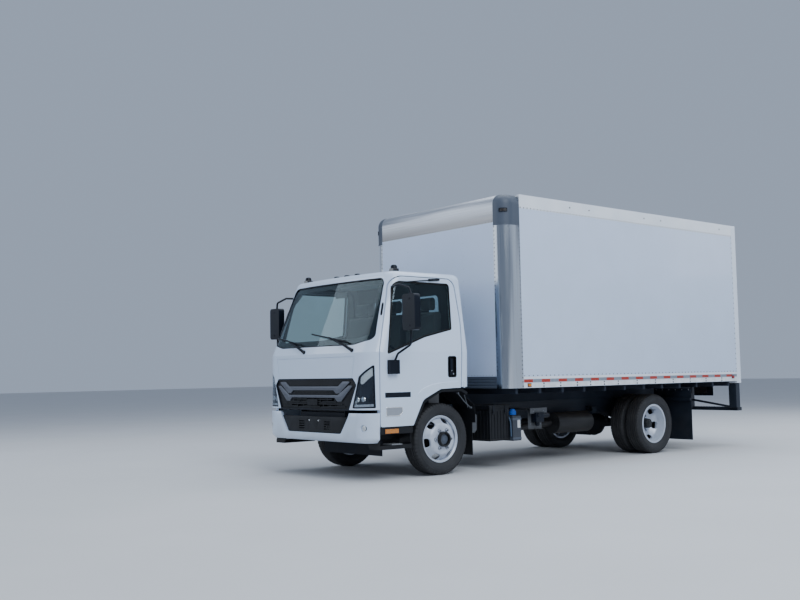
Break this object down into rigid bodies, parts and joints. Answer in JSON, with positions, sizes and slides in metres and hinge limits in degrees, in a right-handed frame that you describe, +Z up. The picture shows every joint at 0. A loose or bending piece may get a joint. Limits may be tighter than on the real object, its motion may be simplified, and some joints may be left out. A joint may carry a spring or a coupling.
{
  "type": "box truck",
  "caption": "Cab-over box truck with steered front wheels, twin rear wheels, hinged cab doors and a dry freight body with a roll-up rear door.",
  "frame": {"origin": "on the ground under the middle of the vehicle's length and width", "axes": "+X to the truck's own left, +Y to its rear, +Z up; the cab faces -Y"},
  "size_m": [2.796, 6.902, 3.2349],
  "materials": {
    "white_paint": "gloss white paint",
    "body_panel": "pale grey-white prepainted sheet",
    "bright_metal": "bright rolled sheet",
    "dark_casting": "dark grey paint",
    "black_plastic": "grained",
    "chassis_paint": "satin black",
    "engine_metal": "as cast",
    "exhaust_steel": "heat stained",
    "clear_glass": "clear",
    "lamp_lens": "clear lens",
    "wheel_paint": "satin silver-white",
    "tyre_rubber": "matt",
    "seat_cloth": "woven grey",
    "floor_mat": "ribbed",
    "steering_grip": "soft grain",
    "flap_rubber": "matt",
    "deck_board": "laminated boards"
  },
  "bodies": {
    "truck": {"arch_liners": "black_plastic", "body_rails": "body_panel", "body_walls": "body_panel", "bumper": "white_paint", "bumper_insert": "black_plastic", "cab_back": "white_paint", "cab_floor": "floor_mat", "cab_roof": "white_paint", "cab_sides": "white_paint", "cab_windows": "clear_glass", "chassis_frame": "chassis_paint", "corner_castings": "dark_casting", "corner_posts": "bright_metal", "dashboard": "black_plastic", "drive_shaft": "chassis_paint", "engine_block": "engine_metal", "exhaust": "exhaust_steel", "floor_sills": "chassis_paint", "front_axle": "chassis_paint", "front_panel": "white_paint", "front_sill": "dark_casting", "grille": "black_plastic", "grille_bars": "bright_metal", "headlamps": "lamp_lens", "lamps": "lamp_lens", "leaf_springs": "chassis_paint", "load_floor": "deck_board", "mud_flaps": "flap_rubber", "radiator": "engine_metal", "rear_axle": "chassis_paint", "rear_bumper": "chassis_paint", "rear_frame": "body_panel", "roller_door": "body_panel", "roof_panel": "body_panel", "seats": "seat_cloth", "side_tanks": "bright_metal", "steps": "black_plastic"},
    "left_knuckle": {"knuckle_left": "chassis_paint"},
    "right_knuckle": {"knuckle_right": "chassis_paint"},
    "left_front_wheel": {"front_wheel_left": "wheel_paint", "front_tyre_left": "tyre_rubber"},
    "right_front_wheel": {"front_wheel_right": "wheel_paint", "front_tyre_right": "tyre_rubber"},
    "left_rear_wheels": {"rear_wheels_left": "wheel_paint", "rear_tyres_left": "tyre_rubber"},
    "right_rear_wheels": {"rear_wheels_right": "wheel_paint", "rear_tyres_right": "tyre_rubber"},
    "left_door": {"door_left": "white_paint", "door_glass_left": "clear_glass", "mirror_left": "black_plastic"},
    "right_door": {"door_right": "white_paint", "door_glass_right": "clear_glass", "mirror_right": "black_plastic"},
    "tie_rod": {"tie_rod": "chassis_paint"},
    "steering_wheel": {"steering_wheel": "steering_grip"}
  },
  "joints": [
    {"name": "steer_left", "type": "hinge", "parent": "truck", "child": "left_knuckle", "pos_m": [0.7, -2.351, 0.4], "axis": [0, 0, 1], "range_deg": [-38, 38]},
    {"name": "steer_right", "type": "hinge", "parent": "truck", "child": "right_knuckle", "pos_m": [-0.7, -2.351, 0.4], "axis": [0, 0, 1], "range_deg": [-38, 38]},
    {"name": "tie_rod_pivot", "type": "hinge", "parent": "left_knuckle", "child": "tie_rod", "pos_m": [0.7, -2.181, 0.298], "axis": [0, 0, 1], "range_deg": [-38, 38]},
    {"name": "spin_front_left", "type": "hinge", "parent": "left_knuckle", "child": "left_front_wheel", "pos_m": [0.8325, -2.351, 0.4], "axis": [1, 0, 0], "continuous": true},
    {"name": "spin_front_right", "type": "hinge", "parent": "right_knuckle", "child": "right_front_wheel", "pos_m": [-0.8325, -2.351, 0.4], "axis": [1, 0, 0], "continuous": true},
    {"name": "spin_rear_left", "type": "hinge", "parent": "truck", "child": "left_rear_wheels", "pos_m": [0.825, 1.459, 0.4], "axis": [1, 0, 0], "continuous": true},
    {"name": "spin_rear_right", "type": "hinge", "parent": "truck", "child": "right_rear_wheels", "pos_m": [-0.825, 1.459, 0.4], "axis": [1, 0, 0], "continuous": true},
    {"name": "left_door_hinge", "type": "hinge", "parent": "truck", "child": "left_door", "pos_m": [1.02, -3.283, 1.4], "axis": [0, 0, -1], "range_deg": [0, 70]},
    {"name": "right_door_hinge", "type": "hinge", "parent": "truck", "child": "right_door", "pos_m": [-1.02, -3.283, 1.4], "axis": [0, 0, 1], "range_deg": [0, 70]},
    {"name": "steering_wheel_turn", "type": "hinge", "parent": "truck", "child": "steering_wheel", "pos_m": [0.54, -2.911, 1.44], "axis": [0, 0.4695, 0.8829], "range_deg": [-684, 684]}
  ],
  "couplings": [
    {"joint": "steer_right", "follows": "steer_left", "ratio": 1},
    {"joint": "tie_rod_pivot", "follows": "steer_left", "ratio": -1},
    {"joint": "steering_wheel_turn", "follows": "steer_left", "ratio": 18}
  ]
}
